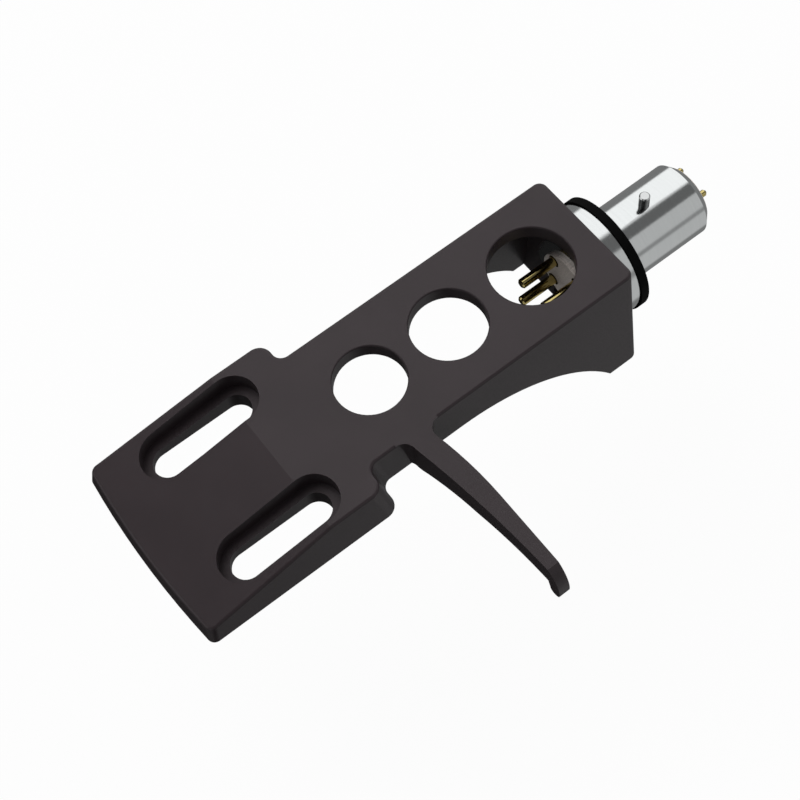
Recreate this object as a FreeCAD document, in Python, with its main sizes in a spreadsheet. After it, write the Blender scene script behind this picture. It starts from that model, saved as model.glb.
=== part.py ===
import FreeCAD, Part
import os
import Sketcher
from FreeCAD import Placement, Rotation, Vector

# Turntable headshell with a bayonet plug, in millimetres.
# +X is the finger lift side, +Y runs back along the plug, +Z is up.
# The origin is on the plug axis, on the back face of the rubber ring.

SIZES = {
    # plug
    "barrel_d": 8.0,
    "barrel_len": 10.3,
    "barrel_wall": 0.8,
    "barrel_land": 0.1,
    "flange_d": 12.3,
    "flange_th": 1.95,
    "gasket_th": 0.9,
    "gasket_d": 12.7,
    "gasket_clear": 0.1,
    "spigot_d": 9.0,
    "spigot_clear": 0.04,
    # insulator and contacts
    "carrier_ahead": 0.4,
    "carrier_behind": 0.1,
    "contact_web": 0.1,
    "contact_d": 1.4,
    "terminal_d": 1.05,
    "terminal_len": 4.2,
    "terminal_chamfer": 0.15,
    "tip_d": 0.7,
    "tip_len": 0.9,
    "tip_chamfer": 0.2,
    # guide pin
    "guide_d": 1.1,
    "guide_back": 4.5,
    "guide_proud": 1.6,
    "guide_web": 0.2,
    "guide_chamfer": 0.12,
    # heights of the casting, from the plug axis
    "top_z": 7.6,
    "under_z": 3.4,
    "foot_z": -5.9,
    "skin": 1.7,
    # neck
    "neck_w": 13.8,
    "neck_draft": 6.8,
    "skirt_th": 1.6,
    "rear_wall": 2.2,
    "rear_corner": 0.9,
    "arch_start": -24.0,
    "arch_rad": 21.2,
    "cavity_front": -33.0,
    # front plate
    "plate_w": 20.7,
    "plate_front": -54.7,
    "plate_bow": 95.0,
    "plate_back": -33.4,
    "plate_draft": 10.8,
    "front_corner": 0.8,
    "plate_corner": 1.4,
    "waist_corner": 1.05,
    "crease_y": -40.1,
    "nose_th": 1.9,
    # lightening holes
    "front_hole_d": 7.05,
    "front_hole_y": -28.75,
    "mid_hole_d": 7.55,
    "mid_hole_y": -19.6,
    "rear_hole_d": 8.45,
    "rear_hole_y": -9.7,
    # cartridge slots
    "slot_pitch": 12.7,
    "slot_w": 3.1,
    "slot_travel": 7.75,
    "slot_y": -43.65,
    "recess_w": 5.0,
    "ledge_front": 0.95,
    "ledge_rise": 6.0,
    # finger lift
    "lift_end": 24.4,
    "lift_tip": 26.0,
    "lift_back": -26.6,
    "lift_root_w": 3.1,
    "lift_sweep": 0.85,
    "lift_flare": 0.35,
    "lift_end_w": 1.15,
    "lift_mid_depth": 2.9,
    "lift_end_depth": 2.4,
    "lift_drop": 4.05,
    "lift_tip_th": 1.2,
    "lift_root_corner": 1.25,
    # lock screw under the rear wall
    "lock_d": 2.0,
    "lock_len": 1.3,
    "lock_boss_d": 4.2,
    "lock_inset": 0.2,
    "lock_slot_w": 0.4,
    "lock_slot_depth": 0.4,
    # small edges of the casting
    "edge_rad": 0.3,
    "opening_rad": 0.15,
    # how far a cut reaches past the faces it opens
    "cut_over": 1.0,
}

doc = FreeCAD.newDocument("headshell")
sheet = doc.addObject("Spreadsheet::Sheet", "sheet")
for row, (name, size) in enumerate(SIZES.items(), start=1):
    sheet.set("A%d" % row, name)
    sheet.set("B%d" % row, str(size))
    sheet.setAlias("B%d" % row, name)
doc.recompute()


def value(expression):
    """The number that an expression over the sheet gives."""
    result = sheet.evalExpression(expression)
    return float(getattr(result, "Value", result))


def sized(text):
    """The same expression with each size name read from the sheet."""
    words = []
    word = ""
    for letter in text + " ":
        if letter.isalnum() or letter == "_":
            word += letter
        else:
            words.append("sheet." + word if word in SIZES else word)
            words.append(letter)
            word = ""
    return "".join(words).strip()


def plane_of(body, role):
    """An origin plane of the body, by its role."""
    return [item for item in body.Origin.OriginFeatures if item.Role == role][0]


def new_sketch(body, name, role, offset="0"):
    """A sketch on an origin plane of the body, moved along the plane's normal."""
    sketch = body.newObject("Sketcher::SketchObject", name)
    sketch.AttachmentSupport = [(plane_of(body, role), "")]
    sketch.MapMode = "FlatFace"
    sketch.setExpression("AttachmentOffset.Base.z", sized(offset))
    return sketch


def outline(sketch, corners, arcs=None):
    """A closed outline through the corners, each held by its distances from the origin.

    arcs gives, for the number of a side, which way an arc bulges and its radius:
    1 is to the right of the way round, and -1 to the left. With no radius it is
    a half circle over a side that runs along the sketch's x.
    """
    arcs = arcs or {}
    places = [Vector(value(sized(x)), value(sized(y)), 0) for x, y in corners]
    sides = []
    first_ends = []
    for number, start in enumerate(places):
        end = places[(number + 1) % len(places)]
        if number in arcs:
            bulge, text = arcs[number]
            half = (end - start).Length / 2
            radius = value(sized(text)) if text else half
            sag = radius - max(radius * radius - half * half, 0) ** 0.5
            along = (end - start).normalize()
            middle = (start + end) / 2 + Vector(along.y, -along.x, 0) * sag * bulge
            curve = Part.Arc(start, middle, end)
        else:
            curve = Part.LineSegment(start, end)
        side = sketch.addGeometry(curve, False)
        sides.append(side)
        at_start = (sketch.getPoint(side, 1) - start).Length < (sketch.getPoint(side, 2) - start).Length
        first_ends.append(1 if at_start else 2)
    for number, side in enumerate(sides):
        after = (number + 1) % len(sides)
        joined = Sketcher.Constraint("Coincident", side, 3 - first_ends[number], sides[after], first_ends[after])
        sketch.addConstraint(joined)
    for number, texts in enumerate(corners):
        place = places[number]
        for kind, text, size in (("DistanceX", texts[0], place.x), ("DistanceY", texts[1], place.y)):
            held = Sketcher.Constraint(kind, -1, 1, sides[number], first_ends[number], size)
            bind(sketch, sketch.addConstraint(held), text)
    for number, (bulge, text) in arcs.items():
        if text:
            held = Sketcher.Constraint("Radius", sides[number], value(sized(text)))
        else:
            text = corners[number][1]
            held = Sketcher.Constraint("DistanceY", -1, 1, sides[number], 3, places[number].y)
        bind(sketch, sketch.addConstraint(held), text)


def bind(sketch, number, text):
    """Bind a constraint of the sketch to an expression over the sheet."""
    sketch.setExpression("Constraints[%d]" % number, sized(text))


def circle(sketch, x, y, diameter):
    """A circle held by its centre and diameter."""
    centre = Vector(value(sized(x)), value(sized(y)), 0)
    size = value(sized(diameter))
    side = sketch.addGeometry(Part.Circle(centre, Vector(0, 0, 1), size / 2), False)
    bind(sketch, sketch.addConstraint(Sketcher.Constraint("DistanceX", -1, 1, side, 3, centre.x)), x)
    bind(sketch, sketch.addConstraint(Sketcher.Constraint("DistanceY", -1, 1, side, 3, centre.y)), y)
    bind(sketch, sketch.addConstraint(Sketcher.Constraint("Diameter", side, size)), diameter)


def feature(body, kind, name, sketch, length=None, through=False, both=False, back=False, draft=None):
    """A pad or pocket of the sketch: length along its normal, or through everything."""
    made = body.newObject("PartDesign::" + kind, name)
    made.Profile = sketch
    made.Reversed = back
    if through:
        made.Type = "ThroughAll"
    if both:
        made.Midplane = True
    if length is not None:
        made.setExpression("Length", sized(length))
    if draft is not None:
        made.setExpression("TaperAngle", sized(draft))
    sketch.Visibility = False
    doc.recompute()
    return made


def edges_where(shape, test):
    """Names of the edges of the shape that pass the test."""
    return ["Edge%d" % (number + 1) for number, edge in enumerate(shape.Edges) if test(edge)]


def round_edges(body, name, base, radius, test):
    """A fillet on the edges of the base feature that pass the test."""
    names = edges_where(base.Shape, test)
    if not names:
        raise ValueError("no edges found for " + name)
    made = body.newObject("PartDesign::Fillet", name)
    made.Base = (base, names)
    made.setExpression("Radius", sized(radius))
    doc.recompute()
    return made


def bevel_edges(body, name, base, size, test):
    """A chamfer on the edges of the base feature that pass the test."""
    made = body.newObject("PartDesign::Chamfer", name)
    made.Base = (base, edges_where(base.Shape, test))
    made.setExpression("Size", sized(size))
    doc.recompute()
    return made


def new_body(name):
    body = doc.addObject("PartDesign::Body", name)
    body.Label = name
    return body


REAR_Y = "-(gasket_th + flange_th)"
WALL_Y = "-(gasket_th + flange_th + rear_wall)"
HALF_NECK = "neck_w / 2"
NECK_SPREAD = "(top_z - foot_z) * tan(neck_draft * 1deg)"
HALF_CAVITY = "(neck_w / 2 - skirt_th + skin * tan(neck_draft * 1deg))"
CARRIER_D = "(barrel_d - 2 * barrel_wall)"
BARREL_CHAMFER = "(barrel_wall - barrel_land)"
GUIDE_DEPTH = "(barrel_wall - guide_web)"
CONTACT_PLACE = "(barrel_d / 2 - barrel_wall - contact_web - contact_d / 2) / sqrt(2)"
PLATE_STEP = "(plate_w / 2 - (top_z - under_z) * tan(plate_draft * 1deg) - neck_w / 2)"
LOCK_Y = "-(gasket_th + flange_th + rear_wall / 2 + lock_inset)"


def make_neck(body):
    """The neck: a block whose sides splay outwards towards the foot."""
    sketch = new_sketch(body, "neck_section", "XZ_Plane", "gasket_th + flange_th")
    outline(sketch, [
        ("-" + HALF_NECK, "top_z"),
        ("-" + HALF_NECK + " - " + NECK_SPREAD, "foot_z"),
        (HALF_NECK + " + " + NECK_SPREAD, "foot_z"),
        (HALF_NECK, "top_z"),
    ])
    length = REAR_Y + " - plate_back + plate_corner"
    return feature(body, "Pad", "neck", sketch, length)


def make_plate(body):
    """The front plate: wider at its underside, with a bowed front edge."""
    sketch = new_sketch(body, "plate_plan", "XY_Plane", "under_z")
    side_y = "plate_front + plate_bow - sqrt(plate_bow ^ 2 - (plate_w / 2) ^ 2)"
    outline(sketch, [
        ("-plate_w / 2", "plate_back"),
        ("-plate_w / 2", side_y),
        ("plate_w / 2", side_y),
        ("plate_w / 2", "plate_back"),
    ], {1: (1, "plate_bow")})
    return feature(body, "Pad", "plate", sketch, "top_z - under_z", draft="-plate_draft")


def make_lift(body):
    """The finger lift in plan: hollow along its front, thinner towards its end, round at its root."""
    sketch = new_sketch(body, "lift_plan", "XY_Plane", "top_z")
    inner = "neck_w / 2 - skirt_th / 2"
    root_x = "neck_w / 2 + lift_root_corner"
    sweep_x = "(neck_w / 2 + lift_tip) / 2"
    sweep = "((" + sweep_x + " - (" + root_x + ")) ^ 2 + lift_sweep ^ 2) / (2 * lift_sweep)"
    front_square = "((lift_tip - (" + root_x + ")) ^ 2 + (lift_root_w - lift_end_w) ^ 2) / 4"
    flare = "(" + front_square + " + lift_flare ^ 2) / (2 * lift_flare)"
    outline(sketch, [
        (inner, "lift_back - lift_sweep + lift_root_corner"),
        (inner, "lift_back - lift_root_w - lift_root_corner"),
        ("neck_w / 2", "lift_back - lift_root_w - lift_root_corner"),
        (root_x, "lift_back - lift_root_w"),
        ("lift_tip", "lift_back - lift_end_w"),
        ("lift_tip", "lift_back"),
        (sweep_x, "lift_back"),
        (root_x, "lift_back - lift_sweep"),
        ("neck_w / 2", "lift_back - lift_sweep + lift_root_corner"),
    ], {2: (-1, "lift_root_corner"), 3: (-1, flare), 6: (1, sweep), 7: (-1, "lift_root_corner")})
    return feature(body, "Pad", "lift", sketch, "lift_drop", back=True)


def cut_nose(body):
    """The top of the plate falls away in front of the crease."""
    sketch = new_sketch(body, "nose_side", "YZ_Plane")
    far = "plate_front - cut_over"
    fall = "(top_z - under_z - nose_th) * (crease_y - plate_front + cut_over) / (crease_y - plate_front)"
    outline(sketch, [
        ("crease_y", "top_z"),
        (far, "top_z - " + fall),
        (far, "top_z + cut_over"),
        ("crease_y", "top_z + cut_over"),
    ])
    return feature(body, "Pocket", "nose_slope", sketch, through=True, both=True)


def cut_arch(body):
    """The underside: flat below the plate, then a concave arch down to the rear foot."""
    sketch = new_sketch(body, "arch_side", "YZ_Plane")
    foot_y = "arch_start + sqrt(arch_rad ^ 2 - (arch_rad - under_z + foot_z) ^ 2)"
    outline(sketch, [
        ("plate_front - cut_over", "under_z"),
        ("plate_front - cut_over", "foot_z - cut_over"),
        (foot_y, "foot_z - cut_over"),
        (foot_y, "foot_z"),
        ("arch_start", "under_z"),
    ], {3: (1, "arch_rad")})
    return feature(body, "Pocket", "arch", sketch, through=True, both=True)


def cut_cavity(body):
    """The hollow under the neck, between the side skirts and ahead of the rear wall."""
    sketch = new_sketch(body, "cavity_section", "XZ_Plane", "gasket_th + flange_th + rear_wall")
    low = "foot_z - cut_over"
    spread = "(top_z - skin - foot_z + cut_over) * tan(neck_draft * 1deg)"
    outline(sketch, [
        ("-" + HALF_CAVITY, "top_z - skin"),
        ("-" + HALF_CAVITY + " - " + spread, low),
        (HALF_CAVITY + " + " + spread, low),
        (HALF_CAVITY, "top_z - skin"),
    ])
    return feature(body, "Pocket", "cavity", sketch, WALL_Y + " - cavity_front", back=True)


def add_lock_boss(body):
    """The boss on the inside of the rear wall that the lock screw is tapped into."""
    sketch = new_sketch(body, "boss_plan", "XY_Plane", "foot_z")
    outline(sketch, [
        ("-lock_boss_d / 2", WALL_Y + " + rear_wall / 2"),
        ("-lock_boss_d / 2", LOCK_Y),
        ("lock_boss_d / 2", LOCK_Y),
        ("lock_boss_d / 2", WALL_Y + " + rear_wall / 2"),
    ], {1: (1, None)})
    return feature(body, "Pad", "lock_boss", sketch, "-foot_z - spigot_d / 2 + rear_wall / 2")


def cut_bores(body):
    """The bore for the plug through the rear wall, and the tapped hole below it."""
    sketch = new_sketch(body, "bore_end", "XZ_Plane", "gasket_th + flange_th")
    circle(sketch, "0", "0", "spigot_d + 2 * spigot_clear")
    feature(body, "Pocket", "plug_bore", sketch, "rear_wall + lock_boss_d", back=True)
    sketch = new_sketch(body, "lock_plan", "XY_Plane", "foot_z")
    circle(sketch, "0", LOCK_Y, "lock_d")
    return feature(body, "Pocket", "lock_hole", sketch, "-foot_z - spigot_d / 4", back=True)


def cut_holes(body):
    """The three round holes in the neck, growing towards the rear."""
    sketch = new_sketch(body, "hole_plan", "XY_Plane", "top_z")
    for name in ("front", "mid", "rear"):
        circle(sketch, "0", name + "_hole_y", name + "_hole_d")
    return feature(body, "Pocket", "light_holes", sketch, "skin * 1.5")


def slot_outline(sketch, x, width):
    """A slot along Y with round ends, about slot_y."""
    half = width + " / 2"
    outline(sketch, [
        (x + " - " + half, "slot_y + slot_travel / 2"),
        (x + " - " + half, "slot_y - slot_travel / 2"),
        (x + " + " + half, "slot_y - slot_travel / 2"),
        (x + " + " + half, "slot_y + slot_travel / 2"),
    ], {1: (1, None), 3: (1, None)})


def cut_slots(body):
    """Two cartridge slots, each sunk into a wider recess with a sloping ledge."""
    ledge = body.newObject("PartDesign::Plane", "ledge_plane")
    ledge.AttachmentSupport = [(plane_of(body, "XY_Plane"), "")]
    ledge.MapMode = "FlatFace"
    ledge.AttachmentOffset = Placement(Vector(0, 0, 0), Rotation(Vector(1, 0, 0), value(sized("ledge_rise"))))
    ledge.setExpression("AttachmentOffset.Base.y", sized("slot_y - slot_travel / 2 - recess_w / 2"))
    ledge.setExpression("AttachmentOffset.Base.z", sized("under_z + ledge_front"))
    doc.recompute()
    made = None
    for side, sign in (("left", "-"), ("right", "")):
        x = sign + "slot_pitch / 2"
        sketch = new_sketch(body, side + "_recess_plan", "XY_Plane", "top_z + cut_over")
        slot_outline(sketch, x, "recess_w")
        made = body.newObject("PartDesign::Pocket", side + "_recess")
        made.Profile = sketch
        made.Type = "UpToFace"
        made.UpToFace = (ledge, [""])
        doc.recompute()
        sketch = new_sketch(body, side + "_slot_plan", "XY_Plane", "top_z + cut_over")
        slot_outline(sketch, x, "slot_w")
        made = feature(body, "Pocket", side + "_slot", sketch, through=True)
    return made


def shape_lift(body):
    """The underside of the finger lift and its turned down tip."""
    sketch = new_sketch(body, "lift_side", "XZ_Plane", "lift_sweep - lift_back - lift_root_corner * 2")
    low = "top_z - lift_drop"
    tip_in = "lift_tip - lift_tip_th"
    outline(sketch, [
        ("neck_w / 2 - skirt_th", low + " - cut_over"),
        ("neck_w / 2 - skirt_th", "under_z"),
        ("neck_w / 2 + lift_root_corner", "under_z"),
        ("(neck_w / 2 + lift_end) / 2", "top_z - lift_mid_depth"),
        (tip_in + " - lift_tip_th / 4", "top_z - lift_end_depth"),
        (tip_in, low + " + lift_tip_th / 2"),
        ("lift_tip", low + " + lift_tip_th / 2"),
        ("lift_end", "top_z"),
        ("lift_end", "top_z + cut_over"),
        ("lift_tip + cut_over", "top_z + cut_over"),
        ("lift_tip + cut_over", low + " - cut_over"),
    ], {2: (-1, "lift_end"), 3: (-1, "lift_end * 2"), 5: (1, "lift_tip_th / 2"), 6: (1, "lift_drop")})
    return feature(body, "Pocket", "lift_side_cut", sketch, "lift_root_w + lift_root_corner * 4", back=True)


def steep(edge):
    """Whether an edge runs mostly up and down."""
    if len(edge.Vertexes) < 2:
        return False
    run = edge.Vertexes[1].Point - edge.Vertexes[0].Point
    return abs(run.z) > 0.8 * run.Length and run.Length > value(sized("nose_th / 2"))


def near(edge, x, y, reach):
    """Whether the middle of an edge lies within reach of a place, seen from above."""
    middle = edge.valueAt((edge.FirstParameter + edge.LastParameter) / 2)
    return abs(middle.x - x) < reach and abs(middle.y - y) < reach


def round_plan_corners(body, base):
    """Round the upright corners of the plate, the waist behind it and the rear end."""
    half_plate = value(sized("plate_w / 2"))
    half_neck = value(sized("neck_w / 2"))
    reach = value(sized("plate_corner"))
    front_y = value(sized("plate_front + plate_bow - sqrt(plate_bow ^ 2 - (plate_w / 2) ^ 2)"))
    back_y = value("sheet.plate_back")
    rear_y = value(sized(REAR_Y))

    def at_front(edge):
        return steep(edge) and any(near(edge, side * half_plate, front_y, reach) for side in (-1, 1))

    def at_back(edge):
        return steep(edge) and any(near(edge, side * half_plate, back_y, reach) for side in (-1, 1))

    def at_waist(edge):
        return steep(edge) and any(near(edge, side * half_neck, back_y, reach) for side in (-1, 1))

    def at_rear(edge):
        return steep(edge) and any(near(edge, side * (half_neck + reach / 2), rear_y, reach) for side in (-1, 1))

    base = round_edges(body, "front_corners", base, "front_corner", at_front)
    base = round_edges(body, "plate_corners", base, "min(plate_corner; %s * 0.55)" % PLATE_STEP, at_back)
    base = round_edges(body, "waist_corners", base, "min(waist_corner; %s * 0.4)" % PLATE_STEP, at_waist)
    return round_edges(body, "rear_corners", base, "rear_corner", at_rear)


def top_height(y):
    """Height of the top face at the distance y along the plug axis."""
    crease_y = value("sheet.crease_y")
    slope = value(sized("(top_z - under_z - nose_th) / (crease_y - plate_front)"))
    return value("sheet.top_z") - slope * max(crease_y - y, 0)


def soften_rim(body, base):
    """A small round all along the rim of the top face."""
    crease_y = value("sheet.crease_y")

    def on_rim(edge):
        span = edge.LastParameter - edge.FirstParameter
        places = [edge.valueAt(edge.FirstParameter + span * step) for step in (0, 0.5, 1)]
        along_crease = all(abs(place.y - crease_y) < 1e-4 for place in places)
        return not along_crease and all(abs(place.z - top_height(place.y)) < 1e-3 for place in places)

    return round_edges(body, "rim_round", base, "min(edge_rad; skin / 4)", on_rim)


def soften_holes(body, base):
    """A very small round on the upper rim of each lightening hole."""
    top_z = value("sheet.top_z")

    def on_hole(edge):
        return edge.isClosed() and abs(edge.valueAt(edge.FirstParameter).z - top_z) < 1e-4

    return round_edges(body, "hole_round", base, "opening_rad", on_hole)


def make_shell():
    """The die-cast body with its finger lift."""
    body = new_body("shell_body")
    make_neck(body)
    base = make_plate(body)
    round_plan_corners(body, base)
    base = cut_nose(body)
    soften_rim(body, base)
    cut_arch(body)
    cut_cavity(body)
    add_lock_boss(body)
    cut_bores(body)
    base = cut_holes(body)
    soften_holes(body, base)
    cut_slots(body)
    make_lift(body)
    shape_lift(body)
    return body


def revolve(body, name, corners):
    """A solid turned about the plug axis from a half section: distance along Y, radius."""
    sketch = new_sketch(body, name + "_section", "YZ_Plane")
    outline(sketch, corners)
    made = body.newObject("PartDesign::Revolution", name)
    made.Profile = sketch
    made.ReferenceAxis = (sketch, ["H_Axis"])
    made.Angle = 360
    sketch.Visibility = False
    doc.recompute()
    return made


def make_barrel():
    """The turned plug: spigot in the rear wall, flange and barrel, bored for the insulator."""
    body = new_body("connector_barrel")
    bore = CARRIER_D + " / 2"
    revolve(body, "barrel", [
        (WALL_Y, bore),
        (WALL_Y, "spigot_d / 2"),
        (REAR_Y, "spigot_d / 2"),
        (REAR_Y, "flange_d / 2"),
        ("-gasket_th", "flange_d / 2"),
        ("-gasket_th", "barrel_d / 2"),
        ("barrel_len - " + BARREL_CHAMFER, "barrel_d / 2"),
        ("barrel_len", "barrel_d / 2 - " + BARREL_CHAMFER),
        ("barrel_len", bore),
    ])
    sketch = new_sketch(body, "guide_plan", "XY_Plane", "barrel_d / 2 + cut_over")
    circle(sketch, "0", "guide_back", "guide_d")
    feature(body, "Pocket", "guide_hole", sketch, GUIDE_DEPTH + " + cut_over")
    return body


def make_gasket():
    """The rubber ring against the flange."""
    body = new_body("rubber_gasket")
    revolve(body, "ring", [
        ("-gasket_th", "barrel_d / 2 + gasket_clear"),
        ("-gasket_th", "gasket_d / 2"),
        ("0", "gasket_d / 2"),
        ("0", "barrel_d / 2 + gasket_clear"),
    ])
    return body


def make_guide_pin():
    """The bayonet pin in the top of the barrel."""
    body = new_body("guide_pin")
    sketch = new_sketch(body, "pin_plan", "XY_Plane", "barrel_d / 2 - " + GUIDE_DEPTH)
    circle(sketch, "0", "guide_back", "guide_d")
    pad = feature(body, "Pad", "pin", sketch, GUIDE_DEPTH + " + guide_proud")
    top_z = value(sized("barrel_d / 2 + guide_proud"))
    bevel_edges(body, "pin_edge", pad, "guide_chamfer",
                lambda edge: all(abs(point.Point.z - top_z) < 1e-6 for point in edge.Vertexes))
    return body


CONTACTS = {
    "contact_left_upper": ("-", ""),
    "contact_left_lower": ("-", "-"),
    "contact_right_upper": ("", ""),
    "contact_right_lower": ("", "-"),
}


def make_carrier():
    """The insulator in the bore of the plug, drilled for the four contacts."""
    body = new_body("contact_carrier")
    sketch = new_sketch(body, "carrier_end", "XZ_Plane", "gasket_th + flange_th + rear_wall + carrier_ahead")
    circle(sketch, "0", "0", CARRIER_D)
    length = "gasket_th + flange_th + rear_wall + carrier_ahead + barrel_len + carrier_behind"
    feature(body, "Pad", "carrier", sketch, length, back=True)
    sketch = new_sketch(body, "contact_holes", "XZ_Plane", "gasket_th + flange_th + rear_wall + carrier_ahead")
    for across, up in CONTACTS.values():
        circle(sketch, across + CONTACT_PLACE, up + CONTACT_PLACE, "contact_d")
    feature(body, "Pocket", "contact_bores", sketch, through=True, both=True)
    return body


def make_contact(name, across, up):
    """A contact: a post in the insulator, with a thin tip behind it and a terminal pin ahead of it."""
    body = new_body(name)
    face = "gasket_th + flange_th + rear_wall + carrier_ahead"
    x = across + CONTACT_PLACE
    z = up + CONTACT_PLACE
    sketch = new_sketch(body, name + "_post_end", "XZ_Plane", face)
    circle(sketch, x, z, "contact_d")
    feature(body, "Pad", name + "_post", sketch, face + " + barrel_len + carrier_behind", back=True)
    sketch = new_sketch(body, name + "_tip_end", "XZ_Plane", "-(barrel_len + carrier_behind)")
    circle(sketch, x, z, "tip_d")
    feature(body, "Pad", name + "_tip", sketch, "tip_len", back=True)
    sketch = new_sketch(body, name + "_terminal_end", "XZ_Plane", face)
    circle(sketch, x, z, "terminal_d")
    pad = feature(body, "Pad", name + "_terminal", sketch, "terminal_len")
    back_y = value(sized("barrel_len + carrier_behind + tip_len"))
    front_y = -value(sized(face + " + terminal_len"))
    base = bevel_edges(body, name + "_blunt", pad, "tip_chamfer", lambda edge: edge_at(edge, back_y))
    bevel_edges(body, name + "_nose", base, "terminal_chamfer", lambda edge: edge_at(edge, front_y))
    return body


def edge_at(edge, y):
    """Whether a whole edge lies at the distance y along the plug axis."""
    return all(abs(vertex.Point.y - y) < 1e-6 for vertex in edge.Vertexes)


def make_lock_screw():
    """The slotted grub screw that holds the plug in the rear wall."""
    body = new_body("lock_screw")
    sketch = new_sketch(body, "grub_plan", "XY_Plane", "-spigot_d / 2")
    circle(sketch, "0", LOCK_Y, "lock_d")
    feature(body, "Pad", "grub", sketch, "lock_len", back=True)
    sketch = new_sketch(body, "grub_slot_plan", "XY_Plane", "-spigot_d / 2 - lock_len")
    outline(sketch, [
        ("-lock_d", LOCK_Y + " - lock_slot_w / 2"),
        ("lock_d", LOCK_Y + " - lock_slot_w / 2"),
        ("lock_d", LOCK_Y + " + lock_slot_w / 2"),
        ("-lock_d", LOCK_Y + " + lock_slot_w / 2"),
    ])
    feature(body, "Pocket", "grub_slot", sketch, "lock_slot_depth", back=True)
    return body


def check_and_write(bodies):
    """Stop on anything broken, then write each sub-part to its own file."""
    for item in doc.Objects:
        if "Invalid" in item.State or "Error" in item.State:
            raise ValueError("%s is %s" % (item.Label, item.State))
    os.makedirs("parts", exist_ok=True)
    for body in bodies:
        shape = body.Shape
        if shape.isNull() or not shape.isValid():
            raise ValueError("bad shape: " + body.Label)
        shape.exportStep("parts/%s.step" % body.Label)


bodies = [make_shell(), make_barrel(), make_gasket(), make_guide_pin(), make_carrier()]
for name, (across, up) in CONTACTS.items():
    bodies.append(make_contact(name, across, up))
bodies.append(make_lock_screw())
doc.recompute()
check_and_write(bodies)
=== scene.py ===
"""Turntable headshell: the finishes, the turned and moulded pieces, and the studio around them."""

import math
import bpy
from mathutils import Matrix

bl_info = {
    "name": "Turntable Headshell",
    "version": (1, 0, 0),
    "blender": (4, 5, 0),
    "location": "View3D > Sidebar > Headshell",
    "description": "Dresses a packed turntable headshell and sets it in a pale studio",
    "category": "Object",
}

import bmesh
import bpy
from mathutils import Euler, Vector

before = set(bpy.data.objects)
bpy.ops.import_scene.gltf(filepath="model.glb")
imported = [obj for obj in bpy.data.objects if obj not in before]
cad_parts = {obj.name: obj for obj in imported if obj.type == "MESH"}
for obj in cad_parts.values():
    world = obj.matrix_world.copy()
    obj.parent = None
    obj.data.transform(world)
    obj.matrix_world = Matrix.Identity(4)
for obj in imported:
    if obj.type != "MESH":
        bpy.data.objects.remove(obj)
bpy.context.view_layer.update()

MM = 0.001


def linear(hex_colour):
    """A colour written as sRGB hex, as the linear values that Blender's nodes take."""
    digits = hex_colour.lstrip("#")
    values = [int(digits[i:i + 2], 16) / 255 for i in (0, 2, 4)]
    return [v / 12.92 if v <= 0.04045 else ((v + 0.055) / 1.055) ** 2.4 for v in values] + [1.0]


def add_node(tree, kind, settings=None, links=None):
    """Adds a node: settings by input name or attribute, links as input name to output socket."""
    node = tree.nodes.new(kind)
    for name, value in (settings or {}).items():
        if name in node.inputs:
            node.inputs[name].default_value = value
        else:
            setattr(node, name, value)
    for name, socket in (links or {}).items():
        tree.links.new(socket, node.inputs[name])
    return node


def new_material(name):
    """An empty material with its tree and a principled shader joined to the output."""
    material = bpy.data.materials.new(name)
    material.use_nodes = True
    tree = material.node_tree
    tree.nodes.clear()
    shader = add_node(tree, "ShaderNodeBsdfPrincipled")
    add_node(tree, "ShaderNodeOutputMaterial", links={"Surface": shader.outputs["BSDF"]})
    return material, tree, shader


def noise(tree, size_mm, detail=3.0, stretch=(1, 1, 1)):
    """Noise over the object's own coordinates, with features of a real size in millimetres."""
    place = add_node(tree, "ShaderNodeTexCoord")
    scaled = add_node(tree, "ShaderNodeMapping", {"Scale": stretch}, {"Vector": place.outputs["Object"]})
    return add_node(tree, "ShaderNodeTexNoise", {"Scale": 1 / (size_mm * MM), "Detail": detail},
                    {"Vector": scaled.outputs["Vector"]})


def spread(tree, socket, low, high, from_low=0.3, from_high=0.7):
    """A value between low and high that follows a noise."""
    ranged = add_node(tree, "ShaderNodeMapRange", {"From Min": from_low, "From Max": from_high,
                                                   "To Min": low, "To Max": high}, {"Value": socket})
    return ranged.outputs["Result"]


def bump(tree, shader, socket, depth_mm, strength=1.0):
    """Joins a height to the shader as a bump of a real depth in millimetres."""
    relief = add_node(tree, "ShaderNodeBump", {"Strength": strength, "Distance": depth_mm * MM},
                      {"Height": socket})
    tree.links.new(relief.outputs["Normal"], shader.inputs["Normal"])


def tinted(tree, shader, colour, socket, low, high):
    """The base colour, darker and lighter by the given factors where a noise is low and high."""
    tint = add_node(tree, "ShaderNodeMix", {"data_type": "RGBA"})
    tint.inputs["A"].default_value = [c * low for c in linear(colour)[:3]] + [1]
    tint.inputs["B"].default_value = [c * high for c in linear(colour)[:3]] + [1]
    tree.links.new(spread(tree, socket, 0, 1), tint.inputs["Factor"])
    tree.links.new(tint.outputs["Result"], shader.inputs["Base Color"])


def stoved_black_paint(colour):
    """Die-cast aluminium under stoved satin black paint: a warm black with a soft grain of orange peel."""
    material, tree, shader = new_material("stoved_black_paint")
    shader.inputs["Specular IOR Level"].default_value = 0.36
    cloud = noise(tree, 6.0, 4.0)
    tinted(tree, shader, colour, cloud.outputs["Fac"], 0.92, 1.08)
    grain = noise(tree, 0.16, 3.0)
    tree.links.new(spread(tree, grain.outputs["Fac"], 0.3, 0.4), shader.inputs["Roughness"])
    bump(tree, shader, grain.outputs["Fac"], 0.006, 0.5)
    return material


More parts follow.
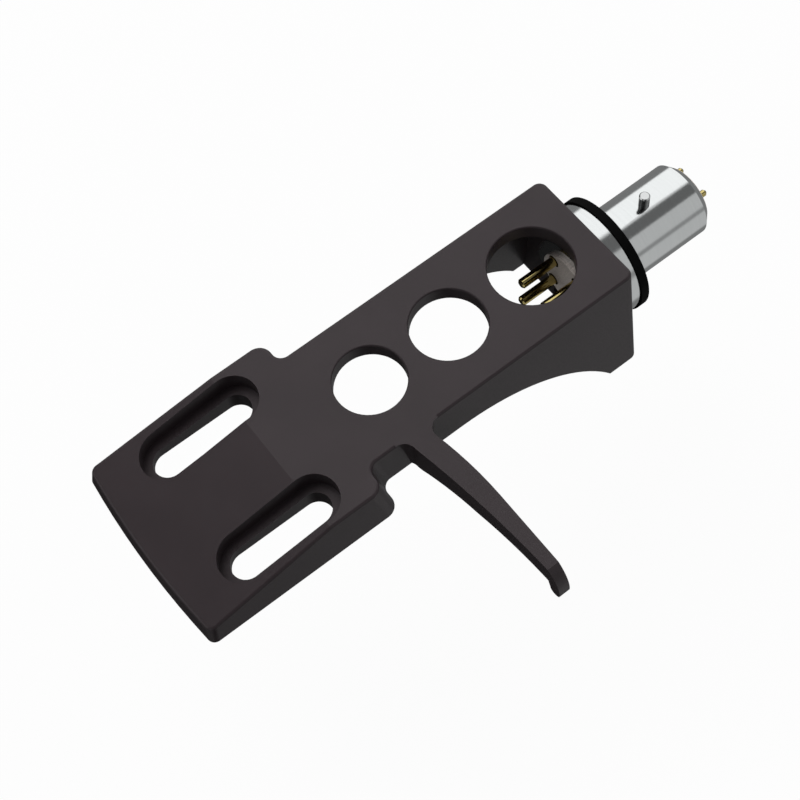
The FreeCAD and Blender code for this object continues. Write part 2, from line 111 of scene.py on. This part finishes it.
def turned_nickel(colour):
    """Turned brass under satin nickel plate: bright, with fine lines round the axis left by the tool."""
    material, tree, shader = new_material("turned_nickel")
    shader.inputs["Metallic"].default_value = 1.0
    lines = noise(tree, 0.12, 2.0, (0.02, 1, 0.02))
    tinted(tree, shader, colour, lines.outputs["Fac"], 0.95, 1.0)
    specks = noise(tree, 0.13, 2.0)
    tree.links.new(spread(tree, specks.outputs["Fac"], 0.08, 0.16), shader.inputs["Roughness"])
    both = add_node(tree, "ShaderNodeMath", {"operation": "ADD"})
    tree.links.new(lines.outputs["Fac"], both.inputs[0])
    tree.links.new(specks.outputs["Fac"], both.inputs[1])
    bump(tree, shader, both.outputs[0], 0.003, 0.5)
    return material


def drawn_steel(colour):
    """Drawn steel rod with faint lines round it: the upward ground end at the full colour, and the side
    painted darker as painted shade, by how far each face turns from up.
    """
    material, tree, shader = new_material("drawn_steel")
    shader.inputs["Metallic"].default_value = 1.0
    lines = noise(tree, 0.1, 2.0, (0.1, 0.1, 1))
    # Painted shade: the colour follows the world up direction of each face, full where a face looks up and
    # down to 0.45 of it on the side and underneath.
    facing = add_node(tree, "ShaderNodeNewGeometry")
    turned = add_node(tree, "ShaderNodeSeparateXYZ", links={"Vector": facing.outputs["Normal"]})
    tinted(tree, shader, colour, turned.outputs["Z"], 0.45, 1.0)
    tree.links.new(spread(tree, lines.outputs["Fac"], 0.14, 0.24), shader.inputs["Roughness"])
    bump(tree, shader, lines.outputs["Fac"], 0.001, 0.4)
    return material


def moulded_rubber(colour):
    """Moulded nitrile rubber: near black and dull, with a faint bloom."""
    material, tree, shader = new_material("moulded_rubber")
    shader.inputs["IOR"].default_value = 1.52
    shader.inputs["Specular IOR Level"].default_value = 0.04
    bloom = noise(tree, 1.2, 4.0)
    tinted(tree, shader, colour, bloom.outputs["Fac"], 0.8, 1.4)
    tree.links.new(spread(tree, bloom.outputs["Fac"], 0.55, 0.75), shader.inputs["Roughness"])
    bump(tree, shader, noise(tree, 0.15).outputs["Fac"], 0.01, 0.5)
    return material


def moulded_phenolic(colour):
    """Moulded phenolic resin with a mineral filler: a grey brown with fine light and dark specks."""
    material, tree, shader = new_material("moulded_phenolic")
    shader.inputs["IOR"].default_value = 1.55
    specks = noise(tree, 0.14, 4.0)
    tinted(tree, shader, colour, specks.outputs["Fac"], 0.6, 1.4)
    tree.links.new(spread(tree, specks.outputs["Fac"], 0.4, 0.6), shader.inputs["Roughness"])
    bump(tree, shader, specks.outputs["Fac"], 0.008, 0.5)
    return material


def gold_plate(colour):
    """Gold plate on turned brass: polished, with faint drawing lines."""
    material, tree, shader = new_material("gold_plate")
    shader.inputs["Metallic"].default_value = 1.0
    lines = noise(tree, 0.1, 2.0, (1, 0.05, 1))
    tinted(tree, shader, colour, lines.outputs["Fac"], 0.85, 1.0)
    tree.links.new(spread(tree, lines.outputs["Fac"], 0.08, 0.16), shader.inputs["Roughness"])
    bump(tree, shader, lines.outputs["Fac"], 0.002, 0.4)
    return material


def blackened_steel(colour):
    """Blackened steel: dark grey metal with a rubbed sheen."""
    material, tree, shader = new_material("blackened_steel")
    shader.inputs["Metallic"].default_value = 1.0
    rub = noise(tree, 0.4, 3.0)
    tinted(tree, shader, colour, rub.outputs["Fac"], 0.7, 1.0)
    tree.links.new(spread(tree, rub.outputs["Fac"], 0.35, 0.5), shader.inputs["Roughness"])
    bump(tree, shader, rub.outputs["Fac"], 0.004, 0.5)
    return material


def dress(node_name, material):
    """Gives a CAD node a better material on its own slot."""
    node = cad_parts[node_name]
    if not node.material_slots:
        node.data.materials.append(material)
    for slot in node.material_slots:
        slot.material = material


class HeadshellFinishes(bpy.types.PropertyGroup):
    paint: bpy.props.StringProperty(
        name="Paint", description="Colour of the painted casting, sRGB hex", default="#241e20")
    nickel: bpy.props.StringProperty(
        name="Nickel", description="Colour of the plated plug, sRGB hex", default="#e6e9e9")
    pin: bpy.props.StringProperty(
        name="Guide pin", description="Colour of the guide pin, sRGB hex", default="#d6d8d8")
    rubber: bpy.props.StringProperty(
        name="Rubber", description="Colour of the ring, sRGB hex", default="#060606")
    insulator: bpy.props.StringProperty(
        name="Insulator", description="Colour of the insulator, sRGB hex", default="#a39b95")
    gold: bpy.props.StringProperty(
        name="Gold", description="Colour of the contacts, sRGB hex", default="#dac884")
    steel: bpy.props.StringProperty(
        name="Steel", description="Colour of the lock screw, sRGB hex", default="#5b5b5e")


class HeadshellStudio(bpy.types.PropertyGroup):
    camera_place: bpy.props.FloatVectorProperty(
        name="Camera", description="Place of the camera", subtype="TRANSLATION", unit="LENGTH", size=3,
        default=(0.0603535, -0.0590714, 0.1377078))
    camera_turn: bpy.props.FloatVectorProperty(
        name="Turn", description="Turn of the camera", subtype="EULER", unit="ROTATION", size=3,
        default=(math.radians(26.21813), math.radians(4.18259), math.radians(52.82671)))
    focal_length: bpy.props.FloatProperty(
        name="Lens", description="Focal length in mm on a 36 mm sensor", default=72.0)
    floor_drop: bpy.props.FloatProperty(
        name="Floor", description="How far the floor lies below the plug axis", unit="LENGTH", default=0.03)


class HEADSHELL_OT_casting(bpy.types.Operator):
    """Paints the die-cast body and its finger lift"""

    bl_idname = "headshell.casting"
    bl_label = "Paint the casting"

    def execute(self, context):
        dress("shell_body", stoved_black_paint(context.scene.headshell_finishes.paint))
        return {"FINISHED"}


class HEADSHELL_OT_plug(bpy.types.Operator):
    """Finishes the plated plug, its guide pin, ring, insulator, contacts and lock screw"""

    bl_idname = "headshell.plug"
    bl_label = "Finish the plug"

    def execute(self, context):
        finishes = context.scene.headshell_finishes
        gold = gold_plate(finishes.gold)
        dress("connector_barrel", turned_nickel(finishes.nickel))
        dress("guide_pin", drawn_steel(finishes.pin))
        dress("rubber_gasket", moulded_rubber(finishes.rubber))
        dress("contact_carrier", moulded_phenolic(finishes.insulator))
        dress("lock_screw", blackened_steel(finishes.steel))
        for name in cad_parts:
            if name.startswith("contact_") and name != "contact_carrier":
                dress(name, gold)
        return {"FINISHED"}


PAPER = 0.55
PAPER_KEPT_WHITE = 0.95


def pale_paper():
    """Coated white paper: even and matte, and kept white to the eye."""
    material = bpy.data.materials.new("pale_paper")
    material.use_nodes = True
    tree = material.node_tree
    tree.nodes.clear()
    paper = add_node(tree, "ShaderNodeBsdfDiffuse", {"Color": (PAPER, PAPER, PAPER, 1), "Roughness": 0.5})
    glow = add_node(tree, "ShaderNodeEmission", {"Color": (1, 1, 1, 1), "Strength": 1.0})
    ray = add_node(tree, "ShaderNodeLightPath")
    seen = add_node(tree, "ShaderNodeMath", {"operation": "MAXIMUM"})
    tree.links.new(ray.outputs["Is Camera Ray"], seen.inputs[0])
    tree.links.new(ray.outputs["Is Transmission Ray"], seen.inputs[1])
    share = add_node(tree, "ShaderNodeMath", {"operation": "MULTIPLY"})
    share.inputs[1].default_value = PAPER_KEPT_WHITE
    tree.links.new(seen.outputs[0], share.inputs[0])
    mixed = add_node(tree, "ShaderNodeMixShader", links={"Fac": share.outputs[0]})
    tree.links.new(paper.outputs[0], mixed.inputs[1])
    tree.links.new(glow.outputs[0], mixed.inputs[2])
    add_node(tree, "ShaderNodeOutputMaterial", links={"Surface": mixed.outputs[0]})
    return material


# The studio as metal sees it, round the axis of the plug: from and to in degrees from the lift side, and the
# level there. Between two rows the light changes softly.
STUDIO = (
    (-90, -67, 0.17),  # the room below
    (-56, -9, 0.42),  # the low side box
    (-2, 4, 0.22),  # the gap between the side boxes
    (11, 53, 0.42),  # the high side box
    (58, 88, 0.11),  # a black flag
    (96, 169, 0.93),  # the top box
    (176, 270, 0.17),  # the room on the far side
)
FIRST_DEGREE = STUDIO[0][0]
LAST_DEGREE = STUDIO[-1][1]
# How the boxes dim along the plug: full over the neck, dark above the front plate, on again ahead of it.
FADE_DARK_Y, FADE_DARK = -0.25, 0.06
FADE_FULL_Y, FADE_FULL = 0.22, 1.18
AHEAD_DARK_Y, AHEAD_FULL_Y, AHEAD_FULL = -0.48, -0.62, 0.9
ROOM_LIGHT = 0.3


def studio_world():
    """White to the camera, a plain dim light on the object, and long soft boxes in what shines."""
    world = bpy.data.worlds.new("studio")
    world.use_nodes = True
    tree = world.node_tree
    tree.nodes.clear()
    way = add_node(tree, "ShaderNodeTexCoord")
    parts = add_node(tree, "ShaderNodeSeparateXYZ", links={"Vector": way.outputs["Generated"]})
    # Turned by a quarter, so that the seam of the angle lies straight below.
    turned = add_node(tree, "ShaderNodeMath", {"operation": "MULTIPLY"})
    turned.inputs[1].default_value = -1.0
    tree.links.new(parts.outputs["X"], turned.inputs[0])
    angle = add_node(tree, "ShaderNodeMath", {"operation": "ARCTAN2"})
    tree.links.new(turned.outputs[0], angle.inputs[0])
    tree.links.new(parts.outputs["Z"], angle.inputs[1])
    place = add_node(tree, "ShaderNodeMapRange", {"From Min": -math.pi, "From Max": math.pi, "To Min": 0.0,
                                                  "To Max": 1.0}, {"Value": angle.outputs[0]})
    ramp = add_node(tree, "ShaderNodeValToRGB", links={"Fac": place.outputs["Result"]})
    stops = ramp.color_ramp.elements
    for start, end, brightness in STUDIO:
        for degrees in (start, end):
            position = (degrees - FIRST_DEGREE) / (LAST_DEGREE - FIRST_DEGREE)
            stop = stops[0] if degrees == FIRST_DEGREE else stops[-1]
            if degrees not in (FIRST_DEGREE, LAST_DEGREE):
                stop = stops.new(position)
            stop.color = (brightness, brightness, brightness, 1)
    fade = add_node(tree, "ShaderNodeMapRange", {"From Min": FADE_DARK_Y, "From Max": FADE_FULL_Y,
                                                 "To Min": FADE_DARK, "To Max": FADE_FULL},
                    {"Value": parts.outputs["Y"]})
    ahead = add_node(tree, "ShaderNodeMapRange", {"From Min": AHEAD_DARK_Y, "From Max": AHEAD_FULL_Y,
                                                  "To Min": 0.0, "To Max": AHEAD_FULL},
                     {"Value": parts.outputs["Y"]})
    level = add_node(tree, "ShaderNodeMath", {"operation": "MAXIMUM"})
    tree.links.new(fade.outputs["Result"], level.inputs[0])
    tree.links.new(ahead.outputs["Result"], level.inputs[1])
    bands = add_node(tree, "ShaderNodeBackground", links={"Color": ramp.outputs["Color"],
                                                          "Strength": level.outputs[0]})
    ray = add_node(tree, "ShaderNodeLightPath")
    plain = add_node(tree, "ShaderNodeBackground", {"Color": (1, 1, 1, 1), "Strength": 1.0})
    dim = add_node(tree, "ShaderNodeBackground", {"Color": (0.95, 0.96, 1.0, 1), "Strength": ROOM_LIGHT})
    lit = add_node(tree, "ShaderNodeMixShader", links={"Fac": ray.outputs["Is Glossy Ray"]})
    tree.links.new(dim.outputs[0], lit.inputs[1])
    tree.links.new(bands.outputs[0], lit.inputs[2])
    mixed = add_node(tree, "ShaderNodeMixShader", links={"Fac": ray.outputs["Is Camera Ray"]})
    tree.links.new(lit.outputs[0], mixed.inputs[1])
    tree.links.new(plain.outputs[0], mixed.inputs[2])
    add_node(tree, "ShaderNodeOutputWorld", links={"Surface": mixed.outputs[0]})
    return world


# Name, place in metres, width and height in metres, and watts.
LAMPS = (
    ("key", (-0.25, -0.05, 0.45), 0.4, 0.4, 3.6),
    ("fill", (0.45, -0.25, 0.2), 0.3, 0.3, 0.5),
    ("rim", (0.1, 0.45, 0.3), 0.3, 0.2, 1.0),
)
LAMP_AIM = (0.0, -0.02, 0.0)


def soft_box(name, place, target, width, height, watts):
    """An area lamp that faces a point, seen in nothing that shines."""
    data = bpy.data.lights.new(name, "AREA")
    data.shape = "RECTANGLE"
    data.size = width
    data.size_y = height
    data.energy = watts
    lamp = bpy.data.objects.new(name, data)
    bpy.context.scene.collection.objects.link(lamp)
    lamp.location = place
    lamp.visible_glossy = False
    lamp.rotation_euler = (Vector(target) - Vector(place)).to_track_quat("-Z", "Y").to_euler()
    return lamp


class HEADSHELL_OT_studio(bpy.types.Operator):
    """Sets the floor, the lamps, the world and the camera"""

    bl_idname = "headshell.studio"
    bl_label = "Set the studio"

    def execute(self, context):
        studio = context.scene.headshell_studio
        scene = context.scene
        scene.view_settings.view_transform = "Standard"

        mesh = bpy.data.meshes.new("floor")
        grid = bmesh.new()
        bmesh.ops.create_grid(grid, x_segments=2, y_segments=2, size=1.5)
        grid.to_mesh(mesh)
        grid.free()
        floor = bpy.data.objects.new("floor", mesh)
        scene.collection.objects.link(floor)
        floor.location = (0, LAMP_AIM[1], -studio.floor_drop)
        floor.visible_glossy = False
        mesh.materials.append(pale_paper())
        scene.world = studio_world()

        for name, place, width, height, watts in LAMPS:
            soft_box(name, place, LAMP_AIM, width, height, watts)

        data = bpy.data.cameras.new("camera")
        data.sensor_width = 36.0
        data.lens = studio.focal_length
        data.clip_start = 0.01
        camera = bpy.data.objects.new("camera", data)
        scene.collection.objects.link(camera)
        camera.location = studio.camera_place
        camera.rotation_euler = Euler(studio.camera_turn, "XYZ")
        scene.camera = camera
        return {"FINISHED"}


class HEADSHELL_PT_sidebar(bpy.types.Panel):
    """Lists the pieces and the studio"""

    bl_label = "Headshell"
    bl_idname = "HEADSHELL_PT_sidebar"
    bl_space_type = "VIEW_3D"
    bl_region_type = "UI"
    bl_category = "Headshell"

    def draw(self, context):
        for group in (context.scene.headshell_finishes, context.scene.headshell_studio):
            for name in group.__annotations__:
                self.layout.prop(group, name)
        for operator in OPERATORS:
            self.layout.operator(operator.bl_idname)


OPERATORS = (HEADSHELL_OT_casting, HEADSHELL_OT_plug, HEADSHELL_OT_studio)
CLASSES = (HeadshellFinishes, HeadshellStudio) + OPERATORS + (HEADSHELL_PT_sidebar,)


def register():
    for item in CLASSES:
        bpy.utils.register_class(item)
    bpy.types.Scene.headshell_finishes = bpy.props.PointerProperty(type=HeadshellFinishes)
    bpy.types.Scene.headshell_studio = bpy.props.PointerProperty(type=HeadshellStudio)


def unregister():
    del bpy.types.Scene.headshell_studio
    del bpy.types.Scene.headshell_finishes
    for item in reversed(CLASSES):
        bpy.utils.unregister_class(item)


def main():
    """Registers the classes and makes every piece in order."""
    register()
    bpy.ops.headshell.casting()
    bpy.ops.headshell.plug()
    bpy.ops.headshell.studio()


if __name__ == "__main__":
    main()
